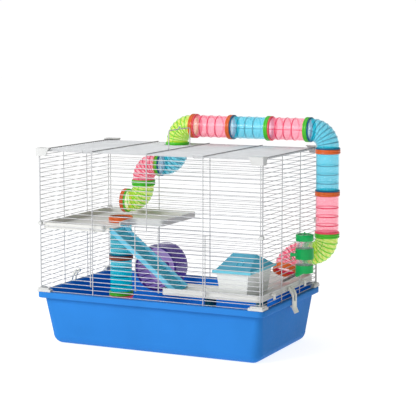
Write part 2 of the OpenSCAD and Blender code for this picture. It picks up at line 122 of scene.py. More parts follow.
def plastic(name, color, rough=0.35, vary=0.05, grain=0.12, grain_mm=0.8, coat=0.0, alpha=1.0,
            metal=0.0, sss=0.0, wear=0.0, tint=None, cloud_mm=60.0, spec=0.3, streak=None, painted_glow=0.0, painted_shade_above=None):
    """Moulded plastic or coated metal: a slow drift of tone, a finer mottling of the gloss, a moulded grain and lighter
    edges, and where asked a painted glow and painted shade over a height.
    """
    m = bpy.data.materials.new(name)
    m.use_nodes = True
    t = m.node_tree
    t.nodes.clear()
    N, L = t.nodes.new, t.links.new
    o = N("ShaderNodeOutputMaterial")
    p = N("ShaderNodeBsdfPrincipled")
    L(p.outputs[0], o.inputs[0])
    tc = N("ShaderNodeTexCoord")
    src = tc.outputs["Object"]
    if streak:  # tone drawn out along one axis, as along a drawn wire or a mould's flow
        mp = N("ShaderNodeMapping")
        mp.inputs["Scale"].default_value = streak
        L(src, mp.inputs[0])
        src = mp.outputs[0]
    big = N("ShaderNodeTexNoise")
    big.inputs["Scale"].default_value = 1000.0 / cloud_mm
    big.inputs["Detail"].default_value = 3.0
    L(src, big.inputs["Vector"])
    mix = N("ShaderNodeMix")
    mix.data_type = "RGBA"
    lo = shaded(color, 1.0 - vary)
    hi = tint or shaded(color, 1.0 + vary)
    mix.inputs["A"].default_value = (*lo, 1)
    mix.inputs["B"].default_value = (*hi, 1)
    spread = N("ShaderNodeMapRange")
    spread.inputs["From Min"].default_value = 0.34
    spread.inputs["From Max"].default_value = 0.66
    L(big.outputs["Fac"], spread.inputs["Value"])
    L(spread.outputs[0], mix.inputs["Factor"])
    col = mix.outputs["Result"]
    if wear > 0:
        geo = N("ShaderNodeNewGeometry")
        edge = N("ShaderNodeMapRange")
        edge.inputs["From Min"].default_value = 0.53
        edge.inputs["From Max"].default_value = 0.62
        edge.inputs["To Max"].default_value = wear
        L(geo.outputs["Pointiness"], edge.inputs["Value"])
        scuff = N("ShaderNodeTexNoise")
        scuff.inputs["Scale"].default_value = 260.0
        L(tc.outputs["Object"], scuff.inputs["Vector"])
        times = N("ShaderNodeMath")
        times.operation = "MULTIPLY"
        L(edge.outputs[0], times.inputs[0])
        L(scuff.outputs["Fac"], times.inputs[1])
        worn = N("ShaderNodeMix")
        worn.data_type = "RGBA"
        worn.inputs["B"].default_value = (*tuple(min(1.0, x * 1.25 + 0.12) for x in color), 1)
        L(times.outputs[0], worn.inputs["Factor"])
        L(col, worn.inputs["A"])
        col = worn.outputs["Result"]
    if painted_shade_above:  # painted shade: a darker grey over a height, on the wires that lie across the top, where they read as shaded lines
        where = N("ShaderNodeSeparateXYZ")
        L(tc.outputs["Object"], where.inputs[0])
        over = N("ShaderNodeMapRange")
        over.inputs["From Min"].default_value = painted_shade_above[0] - 0.0002
        over.inputs["From Max"].default_value = painted_shade_above[0] + 0.0002
        L(where.outputs["Z"], over.inputs["Value"])
        two = N("ShaderNodeMix")
        two.data_type = "RGBA"
        two.inputs["B"].default_value = (*painted_shade_above[1], 1)
        L(over.outputs[0], two.inputs["Factor"])
        L(col, two.inputs["A"])
        col = two.outputs["Result"]
    L(col, p.inputs["Base Color"])
    fine = N("ShaderNodeTexNoise")
    fine.inputs["Scale"].default_value = 130.0
    fine.inputs["Detail"].default_value = 4.0
    L(src, fine.inputs["Vector"])
    ro = N("ShaderNodeMapRange")
    ro.inputs["From Min"].default_value = 0.3
    ro.inputs["From Max"].default_value = 0.7
    ro.inputs["To Min"].default_value = max(0.02, rough - 0.07)
    ro.inputs["To Max"].default_value = min(1.0, rough + 0.07)
    L(fine.outputs["Fac"], ro.inputs["Value"])
    L(ro.outputs[0], p.inputs["Roughness"])
    if grain > 0:
        g = N("ShaderNodeTexNoise")
        g.inputs["Scale"].default_value = 1000.0 / grain_mm
        g.inputs["Detail"].default_value = 2.0
        L(src, g.inputs["Vector"])
        b = N("ShaderNodeBump")
        b.inputs["Strength"].default_value = grain
        b.inputs["Distance"].default_value = 0.0003
        L(g.outputs["Fac"], b.inputs["Height"])
        L(b.outputs[0], p.inputs["Normal"])
    p.inputs["Metallic"].default_value = metal
    p.inputs["Alpha"].default_value = alpha
    p.inputs["Coat Weight"].default_value = coat
    p.inputs["Coat Roughness"].default_value = 0.08
    p.inputs["Specular IOR Level"].default_value = spec
    if sss > 0:
        p.inputs["Subsurface Weight"].default_value = sss
        p.inputs["Subsurface Radius"].default_value = (0.004, 0.004, 0.004)
        p.inputs["Subsurface Scale"].default_value = 1.0
    # painted light: the part glows in its own colour, standing in for light passing through the plastic and lifting its
    # shaded sides
    if painted_glow > 0:
        p.inputs["Emission Color"].default_value = (*color, 1)
        p.inputs["Emission Strength"].default_value = painted_glow
    if alpha < 1:
        m.blend_method = "BLEND"
    return m


floor_mat = plastic("floor_paper", (0.42, 0.42, 0.42), rough=0.9, vary=0.01, grain=0.0, cloud_mm=900, spec=0.0)
floor_mat.node_tree.nodes["Principled BSDF"].inputs["Emission Color"].default_value = (1, 1, 1, 1)
floor_mat.node_tree.nodes["Principled BSDF"].inputs["Emission Strength"].default_value = 0.84

M = {
    "tray": plastic("tray_blue", lin(44, 122, 200), rough=0.5, vary=0.05, grain=0.10, grain_mm=0.9, coat=0.0, wear=0.25, cloud_mm=140, spec=0.04),
    # painted light: the tray's inside, the same blue plastic as the outside, given its own tone and a painted glow for
    # light reaching into the tray
    "inside_painted_light": plastic("tray_lining", lin(8, 112, 205), rough=0.4, vary=0.05, grain=0.10, grain_mm=0.9, cloud_mm=140, spec=0.10, painted_glow=0.13),
    "wire": plastic("wire_white", lin(192, 193, 195), rough=0.34, vary=0.05, grain=0.10, grain_mm=0.5, coat=0.2, cloud_mm=24),
    # wire_top: the wires' own grey, with painted shade on the cross wires that lie across the top
    "wire_top": plastic("wire_top", lin(194, 196, 198), rough=0.36, vary=0.05, grain=0.10, grain_mm=0.5, coat=0.1, cloud_mm=24, painted_shade_above=(0.4701, lin(128, 128, 130))),
    "clip": plastic("clip_white", lin(198, 199, 198), rough=0.4, vary=0.03, grain=0.10, grain_mm=0.7, wear=0.2),
    "latch": plastic("latch_ivory", lin(236, 235, 224), rough=0.36, vary=0.04, grain=0.08, grain_mm=0.7, wear=0.2),
    "platform": plastic("platform_white", lin(216, 216, 212), rough=0.45, vary=0.04, grain=0.22, grain_mm=1.0, wear=0.15, cloud_mm=90),
    "leg": plastic("leg_teal", lin(20, 118, 122), rough=0.35, vary=0.06, grain=0.1, wear=0.2),
    # painted highlight: the rails and the ramp's top end take a lighter copy of the tread's teal
    "lit_rail": plastic("ramp_rail", lin(94, 174, 200), rough=0.42, vary=0.04, grain=0.10, wear=0.2, spec=0.15, painted_glow=0.16),
    "tread": plastic("ramp_tread", lin(66, 160, 182), rough=0.45, vary=0.06, grain=0.18, wear=0.2, spec=0.15, painted_glow=0.16),
    "cyan": plastic("tube_cyan", lin(34, 196, 220), rough=0.2, vary=0.05, grain=0.05, grain_mm=1.6, coat=0.1, alpha=0.36, cloud_mm=25, painted_glow=0.30),
    "cyan_rib": plastic("tube_cyan_rib", lin(8, 146, 172), rough=0.24, vary=0.08, grain=0.05, coat=0.1, alpha=0.54, cloud_mm=20, painted_glow=0.10),
    "cyan_end": plastic("tube_cyan_end", lin(0, 92, 128), rough=0.24, vary=0.08, grain=0.05, coat=0.1, alpha=0.9, cloud_mm=20, painted_glow=0.10),
    # painted shade: a darker copy of the cyan tube for the tubes low on the left, in the cage's shadow; its stronger
    # glow is painted light
    "deep": plastic("tube_deep", lin(0, 174, 192), rough=0.2, vary=0.10, grain=0.05, grain_mm=1.6, coat=0.1, alpha=0.5, cloud_mm=25, painted_glow=0.46),
    "deep_rib": plastic("tube_deep_rib", lin(0, 96, 122), rough=0.24, vary=0.08, grain=0.05, coat=0.1, alpha=0.8, cloud_mm=20, painted_glow=0.12),
    "pink": plastic("tube_pink", lin(247, 140, 164), rough=0.2, vary=0.05, grain=0.05, grain_mm=1.6, coat=0.1, alpha=0.34, cloud_mm=25, painted_glow=0.30),
    "pink_rib": plastic("tube_pink_rib", lin(216, 44, 88), rough=0.24, vary=0.08, grain=0.05, coat=0.1, alpha=0.76, cloud_mm=20, painted_glow=0.16),
    "pink_end": plastic("tube_pink_end", lin(220, 84, 96), rough=0.24, vary=0.08, grain=0.05, coat=0.1, alpha=0.8, cloud_mm=20, painted_glow=0.26),
    "lime": plastic("tube_lime", lin(204, 224, 60), rough=0.2, vary=0.06, grain=0.05, grain_mm=1.6, coat=0.1, alpha=0.38, cloud_mm=25, painted_glow=0.30),
    "lime_rib": plastic("tube_lime_rib", lin(104, 204, 40), rough=0.24, vary=0.08, grain=0.05, coat=0.1, alpha=0.66, cloud_mm=20, painted_glow=0.16),
    "lime_end": plastic("tube_lime_end", lin(54, 186, 32), rough=0.24, vary=0.08, grain=0.05, coat=0.1, alpha=0.92, cloud_mm=20, painted_glow=0.14),
    "orange": plastic("ring_orange", lin(206, 92, 34), rough=0.3, vary=0.08, grain=0.06, coat=0.15, wear=0.25, cloud_mm=30, painted_glow=0.10),
    # painted shade: a darker copy of the orange ring, for the coupling on the left tube that sits in the cage's shadow
    "shaded_orange": plastic("ring_rust", lin(150, 70, 40), rough=0.3, vary=0.08, grain=0.06, coat=0.15, wear=0.2, cloud_mm=30),
    "green": plastic("ring_green", lin(74, 190, 40), rough=0.3, vary=0.08, grain=0.06, coat=0.15, wear=0.25, cloud_mm=30),
    "olive": plastic("ring_olive", lin(132, 138, 24), rough=0.3, vary=0.08, grain=0.06, coat=0.15, wear=0.25, cloud_mm=30),
    "wheel": plastic("wheel_purple", lin(70, 44, 134), rough=0.2, vary=0.08, grain=0.05, coat=0.1, alpha=0.8, cloud_mm=30, painted_glow=0.26),
    "wheel_rib": plastic("wheel_rib", lin(66, 42, 128), rough=0.22, vary=0.08, grain=0.05, coat=0.1, alpha=0.85, cloud_mm=30, painted_glow=0.16),
    "wheel_disc": plastic("wheel_disc", lin(164, 142, 194), rough=0.2, vary=0.10, grain=0.05, coat=0.1, alpha=0.84, cloud_mm=30, painted_glow=0.48),
    # painted light: the drum's inner faces, the same purple plastic as the outside, given a lighter lilac and a strong
    # glow
    "lit_drum_inside": plastic("drum_inside_painted_light", lin(134, 110, 176), rough=0.2, vary=0.10, grain=0.05, coat=0.1, alpha=0.8, cloud_mm=30, painted_glow=0.46),
    "steel": plastic("sipper_steel", (0.34, 0.34, 0.35), rough=0.26, vary=0.12, grain=0.06, metal=1.0, cloud_mm=8, streak=(1, 1, 0.15)),
    "house": plastic("house_grey", lin(216, 218, 216), rough=0.42, vary=0.04, grain=0.16, wear=0.15, cloud_mm=70, painted_glow=0.07),
    "roof": plastic("roof_teal", lin(70, 168, 198), rough=0.36, vary=0.06, grain=0.12, wear=0.25, cloud_mm=50, painted_glow=0.08),
    "eave": plastic("roof_eave", lin(104, 196, 218), rough=0.36, vary=0.05, grain=0.12, wear=0.25, cloud_mm=50),
    "clear": plastic("bottle_clear", lin(226, 236, 236), rough=0.1, vary=0.03, grain=0.04, grain_mm=4, coat=0.5, alpha=0.14, cloud_mm=30),
    "bottle": plastic("bottle_green", lin(6, 176, 88), rough=0.34, vary=0.06, grain=0.08, coat=0.0, wear=0.2, cloud_mm=30),
    "holder": plastic("holder_green", lin(6, 168, 84), rough=0.34, vary=0.06, grain=0.08, coat=0.0, wear=0.2, cloud_mm=30),
}


# ------------------------------------------------------------------ mesh helpers, in millimetres
class Geo:
    def __init__(self):
        self.v, self.f, self.m = [], [], []

    def add(self, verts, faces, mat=0, T=None):
        o = len(self.v)
        self.v.extend(tuple(T @ Vector(p)) if T is not None else tuple(p) for p in verts)
        self.f.extend(tuple(i + o for i in f) for f in faces)
        self.m.extend([mat] * len(faces) if isinstance(mat, int) else mat)

    def loft(self, rings, mat=0, cap0=True, cap1=True, close=False, T=None):
        n = len(rings[0])
        verts = [p for r in rings for p in r]
        faces = []
        k = len(rings)
        for i in range(k if close else k - 1):
            a, b = i * n, ((i + 1) % k) * n
            faces += [(a + j, a + (j + 1) % n, b + (j + 1) % n, b + j) for j in range(n)]
        if not close:
            if cap0:
                faces.append(tuple(reversed(range(n))))
            if cap1:
                faces.append(tuple((k - 1) * n + j for j in range(n)))
        self.add(verts, faces, mat, T)

    def lathe(self, profile, n=72, mat=0, T=None):
        """A closed (r, z) loop turned about local Z, clear of the axis."""
        rings = []
        for a in range(n):
            c, s = math.cos(2 * math.pi * a / n), math.sin(2 * math.pi * a / n)
            rings.append([(r * c, r * s, z) for r, z in profile])
        self.loft(rings, mat, close=True, T=T)

    def spun(self, profile, n=72, mat=0, T=None):
        """An open (r, z) line turned about local Z and closed by a flat cap at each end."""
        rings = [[(r * math.cos(2 * math.pi * a / n), r * math.sin(2 * math.pi * a / n), z) for a in range(n)] for r, z in profile]
        self.loft(rings, mat, T=T)

    def sweep(self, path, r, n=12, mat=0, T=None, closed=False, round_end=True):
        P = [Vector(p) for p in path]
        k = len(P)
        tan = []
        for i in range(k):
            a = P[i - 1] if (i or closed) else P[0]
            b = P[(i + 1) % k] if (i < k - 1 or closed) else P[-1]
            tan.append((b - a).normalized())
        ref = Vector((0, 0, 1)) if abs(tan[0].z) < 0.9 else Vector((1, 0, 0))
        u = tan[0].cross(ref).normalized()
        rings = []
        for i in range(k):
            u = (u - tan[i] * u.dot(tan[i])).normalized()
            w = tan[i].cross(u)
            rings.append((P[i], u.copy(), w, tan[i]))

        def ring(c, u, w, rr):
            return [c + (u * math.cos(2 * math.pi * a / n) + w * math.sin(2 * math.pi * a / n)) * rr for a in range(n)]

        made = [ring(c, u, w, r) for c, u, w, t in rings]
        if closed:
            self.loft(made, mat, close=True, T=T)
            return
        if round_end:
            c, u, w, t = rings[0]
            made = [ring(c + t * r * (1 - math.cos(q)), u, w, r * math.sin(q)) for q in (0.35, 0.8, 1.2)] + [ring(c + t * r, u, w, r)] + made[1:]
            c, u, w, t = rings[-1]
            made = made[:-1] + [ring(c - t * r, u, w, r)] + [ring(c - t * r * (1 - math.cos(q)), u, w, r * math.sin(q)) for q in (1.2, 0.8, 0.35)]
        self.loft(made, mat, T=T)

    def shell(self, outer, inner, mat_of, skip=(), T=None):
        """A wall between two grids of points, round in j and open in i, with the cells in skip left out as holes."""
        n, k = len(outer[0]), len(outer)
        skip = set(skip)
        o = len(outer) * n
        verts = [p for r in outer for p in r] + [p for r in inner for p in r]
        faces, mats = [], []

        def put(f, m):
            faces.append(f)
            mats.append(m)

        for i in range(k - 1):
            for j in range(n):
                J = (j + 1) % n
                a, b, c, d = i * n + j, i * n + J, (i + 1) * n + J, (i + 1) * n + j
                if (i, j) in skip:
                    m = mat_of(i, j)
                    for (p, q), other in (((a, b), (i - 1, j)), ((b, c), (i, J)), ((c, d), (i + 1, j)), ((d, a), (i, (j - 1) % n))):
                        if other not in skip:
                            put((p, q, q + o, p + o), m)
                    continue
                m = mat_of(i, j)
                put((a, b, c, d), m)
                put((a + o, d + o, c + o, b + o), m)
        for j in range(n):
            J = (j + 1) % n
            put((J, j, j + o, J + o), mat_of(0, j))
            e = (k - 1) * n
            put((e + j, e + J, e + J + o, e + j + o), mat_of(k - 2, j))
        self.add(verts, faces, mats, T)


def rounded(P, R, n=5):
    """A polygon's corners rounded to the radii R."""
    out = []
    k = len(P)
    for i in range(k):
        p, c, q = Vector(P[i - 1]), Vector(P[i]), Vector(P[(i + 1) % k])
        r = R[i]
        if r <= 1e-6:
            out.append(tuple(c))
            continue
        u, v = (p - c).normalized(), (q - c).normalized()
        h = math.acos(max(-1, min(1, u.dot(v)))) / 2
        m = (u + v).normalized()
        o = c + m * (r / math.sin(h))
        a, b = c + u * (r / math.tan(h)) - o, c + v * (r / math.tan(h)) - o
        s = 1 if a.x * b.y - a.y * b.x > 0 else -1
        t = math.acos(max(-1, min(1, a.dot(b) / (r * r))))
        a0 = math.atan2(a.y, a.x)
        out += [(o.x + r * math.cos(a0 + s * t * j / n), o.y + r * math.sin(a0 + s * t * j / n)) for j in range(n + 1)]
    return out


def rrect(w, d, r, n=6, cx=0.0, cy=0.0):
    return rounded([(cx - w / 2, cy - d / 2), (cx + w / 2, cy - d / 2), (cx + w / 2, cy + d / 2), (cx - w / 2, cy + d / 2)], [r] * 4, n)


def at_z(pts, z):
    return [(x, y, z) for x, y in pts]


def plate(g, outline, z0, z1, e=0.8, segs=3, mat=0, T=None):
    """A slab whose outline is outline(inset), with both rims rounded to e."""
    rings = []
    for k in range(segs + 1):
        a = math.pi / 2 * k / segs
        rings.append(at_z(outline(e * (1 - math.sin(a))), z0 + e * (1 - math.cos(a))))
    for k in range(segs + 1):
        a = math.pi / 2 * k / segs
        rings.append(at_z(outline(e * (1 - math.cos(a))), z1 - e * (1 - math.sin(a))))
    g.loft(rings, mat, T=T)


def rbox(g, a, b, r=0.8, mat=0, T=None, segs=3):
    """A box with every edge rounded."""
    w, d = b[0] - a[0], b[1] - a[1]
    r = min(r, w / 2.2, d / 2.2, (b[2] - a[2]) / 2.2)
    cx, cy = (a[0] + b[0]) / 2, (a[1] + b[1]) / 2
    plate(g, lambda i: rrect(w - 2 * i, d - 2 * i, max(r - i, 0.02), 3, cx, cy), a[2], b[2], r, segs, mat, T)


def place(o, d, up=None):
    """A matrix that takes local Z to d at o."""
    z = Vector(d).normalized()
    ref = Vector(up) if up else (Vector((0, 1, 0)) if abs(z.y) < 0.9 else Vector((1, 0, 0)))
    x = ref.cross(z).normalized()
    y = z.cross(x)
    return Matrix(((x.x, y.x, z.x, o[0]), (x.y, y.y, z.y, o[1]), (x.z, y.z, z.z, o[2]), (0, 0, 0, 1)))


def axes(o, x, y, z):
    return Matrix(((x[0], y[0], z[0], o[0]), (x[1], y[1], z[1], o[1]), (x[2], y[2], z[2], o[2]), (0, 0, 0, 1)))


def make(name, g, mats, body, nodes=(), angle=38, bevel=0.0, segs=2, subdiv=0):
    me = bpy.data.meshes.new(name)
    me.from_pydata([tuple(c * MM for c in p) for p in g.v], [], g.f)
    for m in mats:
        me.materials.append(M[m])
    me.polygons.foreach_set("material_index", g.m)
    bm = bmesh.new()
    bm.from_mesh(me)
    bmesh.ops.remove_doubles(bm, verts=bm.verts, dist=2e-6)
    bmesh.ops.recalc_face_normals(bm, faces=bm.faces)
    bm.to_mesh(me)
    bm.free()
    me.shade_smooth()
    me.set_sharp_from_angle(angle=math.radians(angle))
    o = bpy.data.objects.new(name, me)
    scene.collection.objects.link(o)
    if bevel:
        b = o.modifiers.new("edges", "BEVEL")
        b.width, b.segments, b.limit_method, b.angle_limit = bevel * MM, segs, "ANGLE", math.radians(30)
        b.harden_normals = True
    if subdiv:
        s = o.modifiers.new("smooth", "SUBSURF")
        s.levels = s.render_levels = subdiv
    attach(o, body)
    if nodes:
        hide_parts(*nodes)
    return o


def refined(name, nodes, mats, body, width=0.7, segs=3, angle=30, pick=None):
    """CAD nodes with their edges softened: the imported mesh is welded, its flat faces joined again, and bevelled."""
    bm = bmesh.new()
    for n in nodes:
        bm.from_mesh(NODES[n].data)
    bmesh.ops.remove_doubles(bm, verts=bm.verts, dist=2e-6)
    bmesh.ops.dissolve_limit(bm, angle_limit=math.radians(0.6), verts=bm.verts, edges=bm.edges)
    bmesh.ops.recalc_face_normals(bm, faces=bm.faces)
    me = bpy.data.meshes.new(name)
    for m in mats:
        me.materials.append(M[m])
    if pick:
        bm.normal_update()
        for f in bm.faces:
            f.material_index = pick(f.calc_center_median() / MM, f.normal)
    else:
        for f in bm.faces:
            f.material_index = 0
    bm.to_mesh(me)
    bm.free()
    me.shade_smooth()
    me.set_sharp_from_angle(angle=math.radians(angle))
    o = bpy.data.objects.new(name, me)
    scene.collection.objects.link(o)
    b = o.modifiers.new("edges", "BEVEL")
    b.width, b.segments, b.limit_method, b.angle_limit = width * MM, segs, "ANGLE", math.radians(angle)
    b.harden_normals = True
    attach(o, body)
    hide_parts(*nodes)
    return o


def paint(node, mat):
    o = NODES[node]
    o.data.materials.clear()
    o.data.materials.append(M[mat])


# ------------------------------------------------------------------ floor
me = bpy.data.meshes.new("floor")
me.from_pydata([(-14, -14, -0.0002), (14, -14, -0.0002), (14, 14, -0.0002), (-14, 14, -0.0002)], [], [(0, 1, 2, 3)])
me.materials.append(floor_mat)
floor = bpy.data.objects.new("floor", me)
scene.collection.objects.link(floor)

# ------------------------------------------------------------------ tray
g = Geo()


def tray_ring(w, d, r, z, n=8):
    return at_z(rrect(w, d, r, n), z)


rings = []
for k in range(0, 10):
    a = math.pi / 2 * k / 9
    q = 26 * math.sin(a)
    rings.append(tray_ring(550 - 52 + 2 * q, 308 - 52 + 2 * q, max(q, 0.8), 26 - 26 * math.cos(a)))
for k in range(1, 9):
    t = k / 8
    rings.append(tray_ring(550 + 20 * t, 308 + 28 * t, 26 - 12 * t, 26 + (126.6 - 26) * t))
rings += [tray_ring(571.5, 337.5, 14.3, 127.0), tray_ring(583.2, 353.2, 13.6, 127.0), tray_ring(584, 354, 13.6, 126.0),
          tray_ring(584, 354, 13.6, 117.0), tray_ring(584.6, 354.6, 13.8, 116.2), tray_ring(587.0, 357.0, 14.6, 116.0),
          tray_ring(588.8, 358.8, 15.4, 116.4), tray_ring(590, 360, 16, 117.8), tray_ring(590, 360, 16, 127.6),
          tray_ring(589.5, 359.5, 15.8, 129.0), tray_ring(588.0, 358.0, 15.2, 129.8), tray_ring(586, 356, 14.6, 130.0),
          tray_ring(569, 335, 12.6, 130.0), tray_ring(566.4, 332.4, 12.2, 129.6), tray_ring(564.6, 330.6, 12, 128.2), tray_ring(564, 330, 12, 126.0)]
for k in range(1, 9):
    t = k / 8
    rings.append(tray_ring(564 - 20 * t, 330 - 28 * t, 12 + 12 * t, 126 + (27 - 126) * t))
for k in range(1, 10):
    a = math.pi / 2 * (1 - k / 9)
    q = 24 * math.sin(a)
    rings.append(tray_ring(544 - 48 + 2 * q, 302 - 48 + 2 * q, max(q, 0.8), 27 - 24 * math.cos(a)))
NR = len(rings[0])
# the inner rings take the second material: the tray's inside, brightened with painted light
g.loft(rings, [0 if i < 31 else 1 for i in range(len(rings) - 1) for j in range(NR)] + [0, 1])
make("tray_shell", g, ["tray", "inside_painted_light"], "cage", ["base_tray"], angle=50)

# ------------------------------------------------------------------ wires stay as the CAD has them
for n in ("front_wires", "back_wires", "left_wires", "right_wires", "front_door", "top_hooks", "carry_handle"):
    paint(n, "wire")
paint("top_wires", "wire_top")

# ------------------------------------------------------------------ moulded pieces whose CAD shape is right
refined("corner_caps", ["top_corner_caps"], ["clip"], "cage", 1.0, 3)
refined("corner_clips", ["bottom_corner_clips"], ["clip"], "cage", 1.2, 3)
refined("post_ties", ["corner_ties"], ["clip"], "cage", 1.0, 3)
refined("latch_left", ["left_latch"], ["latch"], "latch_left", 0.8, 3)
refined("latch_right", ["right_latch"], ["latch"], "latch_right", 0.8, 3)
refined("upper_deck", ["upper_platform"], ["platform"], "cage", 0.9, 3)
refined("lower_deck", ["lower_platform"], ["platform"], "cage", 0.9, 3)
refined("legs", ["platform_legs"], ["leg"], "cage", 0.8, 3)
refined("ramp_bracket", ["ramp_hanger"], ["platform"], "cage", 0.4, 2)

# ------------------------------------------------------------------ ramp
RA = math.radians(38.7)
ramp_inv = (Matrix.Translation((-110, 0, 286.5)) @ Matrix.Rotation(RA, 4, "Y")).inverted()


def ramp_pick(c, n):
    p = ramp_inv @ c
    # the rails and the top end get the lighter tone, a painted highlight on the same plastic as the tread
    lit_rail = p.y < -151 + 4.05 or p.y > -83 - 4.05
    return 0 if lit_rail or p.x < 8 else 1


refined("ramp_board", ["ramp"], ["lit_rail", "tread"], "ramp", 0.5, 2, pick=ramp_pick)

# ------------------------------------------------------------------ tubes
TY = 108.28
RO, RI = 27.4, 25.2
BODY_R = 26.75
FLARE = 29.7


def angles_for(seams, holes):
    """Angles round the tube, with extra ones at each seam rib and vent hole."""
    base = [2 * math.pi * k / 64 for k in range(64)]
    extra = []
    for s in seams:
        extra += [s - 0.042, s - 0.024, s + 0.024, s + 0.042]
    for h in holes:
        extra += [h - 0.045, h + 0.045]
    extra = [a % (2 * math.pi) for a in extra]

    def far(a):
        return all(min(abs(a - b), 2 * math.pi - abs(a - b)) > 0.04 for b in extra)

    return sorted([a for a in base if far(a)] + extra)


def near(a, b, w):
    d = abs((a - b + math.pi) % (2 * math.pi) - math.pi)
    return d < w


def straight(name, o, d, L, mats, node, ribs=(22.5, 43.5, 64.5), seams=(0.6, 3.74), holes=(), up=None, extra_ends=(7.5, 7.5)):
    """A ribbed straight tube: plain where its ends sit in the couplings, with raised hoops, seams and vent holes between."""
    A = angles_for(seams, holes)
    zs = {0.0, 0.6, L - 0.6, L}
    for r in ribs:
        zs |= {r - 1.3, r - 0.8, r + 0.8, r + 1.3}
    zs |= {extra_ends[0], extra_ends[0] + 0.7, L - extra_ends[1] - 0.7, L - extra_ends[1]}
    hole_z = []
    if holes:
        mids = [(a + b) / 2 for a, b in zip([extra_ends[0]] + list(ribs), list(ribs) + [L - extra_ends[1]]) if b - a > 10]
        hole_z = mids
        for h in mids:
            zs |= {h - 1.2, h + 1.2}
    zs = sorted(zs)

    def radius(z, a):
        if z < extra_ends[0] + 0.01 or z > L - extra_ends[1] - 0.01:
            return RO
        r = BODY_R
        if any(abs(z - q) < 0.85 for q in ribs):
            r = RO
        if any(near(a, s, 0.03) for s in seams):
            r = RO - 0.1
        return r

    outer, inner = [], []
    for z in zs:
        dr = 0.35 if z in (0.0, L) else 0.0
        outer.append([((radius(z, a) - dr) * math.cos(a), (radius(z, a) - dr) * math.sin(a), z) for a in A])
        inner.append([((RI + dr) * math.cos(a), (RI + dr) * math.sin(a), z) for a in A])
    skip = set()
    for i in range(len(zs) - 1):
        zc = (zs[i] + zs[i + 1]) / 2
        for j in range(len(A)):
            a0, a1 = A[j], A[(j + 1) % len(A)] + (2 * math.pi if j == len(A) - 1 else 0)
            ac = (a0 + a1) / 2
            if any(near(ac, h % (2 * math.pi), 0.03) for h in holes) and any(abs(zc - h) < 0.7 for h in hole_z):
                skip.add((i, j))

    def mat_of(i, j):
        zc = (zs[i] + zs[i + 1]) / 2
        if zc < extra_ends[0] or zc > L - extra_ends[1]:
            return 1
        if any(abs(zc - q) < 1.1 for q in ribs):
            return 1
        a0, a1 = A[j], A[(j + 1) % len(A)] + (2 * math.pi if j == len(A) - 1 else 0)
        if any(near((a0 + a1) / 2, s, 0.03) for s in seams):
            return 1
        return 0

    g = Geo()
    g.shell(outer, inner, mat_of, skip, T=place(o, d, up))
    return make(name, g, mats, "cage", [node], angle=32)


def elbow(name, o, d1, d2, mats, node, a1=47.5, a2=47.5, ribs=7, seams=(math.pi / 2, -math.pi / 2)):
    """A bent tube with ribs fanned about its inner corner. Its arms run along d1 and d2 from o."""
    x, y = -Vector(d2), -Vector(d1)
    z = x.cross(y)
    T = axes(o, x, y, z)
    A = angles_for([s % (2 * math.pi) for s in seams], ())
    R = 40.0
    stations = []  # (kind, value): along the first arm, round the bend, along the second arm
    s1, s2 = a1 - R, a2 - R
    rib_at = [math.pi / 2 * (k + 1) / (ribs + 1) for k in range(ribs)]
    st = [("a", s1), ("a", s1 - 0.6)]
    if s1 > 8.5:
        st += [("a", s1 - 7.0), ("a", s1 - 7.6)]
        if s1 > 14:
            st += [("a", s1 * 0.25)]
    st += [("a", 0.3)]
    ts = set()
    for r in rib_at:
        ts |= {r - 0.028, r - 0.017, r + 0.017, r + 0.028}
    edges = [0.0] + rib_at + [math.pi / 2]
    for q0, q1 in zip(edges, edges[1:]):
        ts.add((q0 + q1) / 2)
    ts |= {0.02, math.pi / 2 - 0.02}
    st += [("b", t) for t in sorted(ts)]
    st += [("c", 0.3)]
    if s2 > 8.5:
        st += [("c", s2 - 7.6), ("c", s2 - 7.0)]
    st += [("c", s2 - 0.6), ("c", s2)]

    def frame_at(kind, v):
        # arm 1 leaves along -y, arm 2 along -x, about the centre (-R, -R)
        if kind == "a":
            return Vector((0, -R - v, 0)), Vector((1, 0, 0))
        if kind == "c":
            return Vector((-R - v, 0, 0)), Vector((0, 1, 0))
        return Vector((-R + R * math.cos(v), -R + R * math.sin(v), 0)), Vector((math.cos(v), math.sin(v), 0))

    def kind_of(kind, v):
        if kind == "a" and v > s1 - 7.2:
            return "end"
        if kind == "c" and v > s2 - 7.2:
            return "end"
        if kind == "b" and any(abs(v - r) < 0.018 for r in rib_at):
            return "rib"
        return "body"

    outer, inner = [], []
    for kind, v in st:
        c, n = frame_at(kind, v)
        b = Vector((0, 0, 1))
        k = kind_of(kind, v)
        ro = RO if k != "body" else BODY_R
        last = (kind == "a" and v == s1) or (kind == "c" and v == s2)
        dr = 0.35 if last else 0.0
        outer.append([c + (n * math.cos(a) + b * math.sin(a)) * ((RO - 0.1 if (k == "body" and any(near(a, s, 0.03) for s in seams)) else ro) - dr) for a in A])
        inner.append([c + (n * math.cos(a) + b * math.sin(a)) * (RI + dr) for a in A])

    def mat_of(i, j):
        k0, v0 = st[i]
        k1, v1 = st[i + 1]
        if "end" in (kind_of(k0, v0),) and kind_of(k1, v1) == "end":
            return 1
        if k0 == "b" and k1 == "b" and any(abs((v0 + v1) / 2 - r) < 0.024 for r in rib_at):
            return 1
        a0, a1_ = A[j], A[(j + 1) % len(A)] + (2 * math.pi if j == len(A) - 1 else 0)
        if any(near((a0 + a1_) / 2, s, 0.03) for s in seams):
            return 1
        return 0

    g = Geo()
    g.shell(outer, inner, mat_of, T=T)
    return make(name, g, mats, "cage", [node], angle=32)


